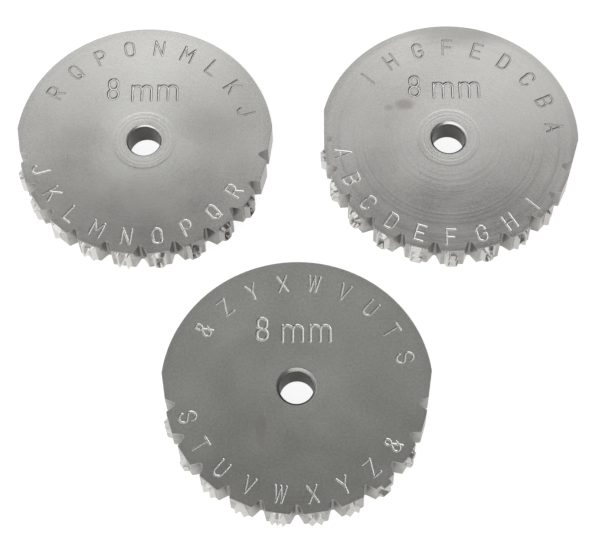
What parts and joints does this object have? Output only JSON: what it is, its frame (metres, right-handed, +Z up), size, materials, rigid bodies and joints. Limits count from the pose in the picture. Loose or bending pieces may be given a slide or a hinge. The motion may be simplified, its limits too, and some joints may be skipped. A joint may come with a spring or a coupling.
{
  "type": "letter type wheel set",
  "caption": "Solid steel marking wheels, loose on one plane: each has a plain bore, mirrored raised letters on rim teeth parted by V-notches, and an engraved index on its face.",
  "frame": {"origin": "bottom centre of the set's box, on the plane the wheels lie on", "axes": "+Z up along the bores, out of the engraved faces; +X from the A to I wheel's side to the right, with the J to R wheel at -X; -Y towards the S to & wheel and the toothed side of every rim"},
  "size_m": [0.1807, 0.1677, 0.01],
  "materials": {
    "wheel_a_to_i_steel": "bare satin steel, faint turning rings",
    "wheel_j_to_r_steel": "bare satin steel, faint turning rings",
    "wheel_s_to_ampersand_steel": "bare steel, even grey satin"
  },
  "bodies": {
    "wheel_s_to_ampersand": {"wheel_s_to_ampersand": "wheel_s_to_ampersand_steel"},
    "wheel_a_to_i": {"wheel_a_to_i": "wheel_a_to_i_steel"},
    "wheel_j_to_r": {"wheel_j_to_r": "wheel_j_to_r_steel"}
  },
  "joints": [
    {"name": "lift_a_to_i", "type": "slide", "parent": "wheel_s_to_ampersand", "child": "wheel_a_to_i", "axis": [0, 0, 1], "range_m": [0, 0.04]},
    {"name": "lift_j_to_r", "type": "slide", "parent": "wheel_s_to_ampersand", "child": "wheel_j_to_r", "axis": [0, 0, 1], "range_m": [0, 0.04]}
  ]
}
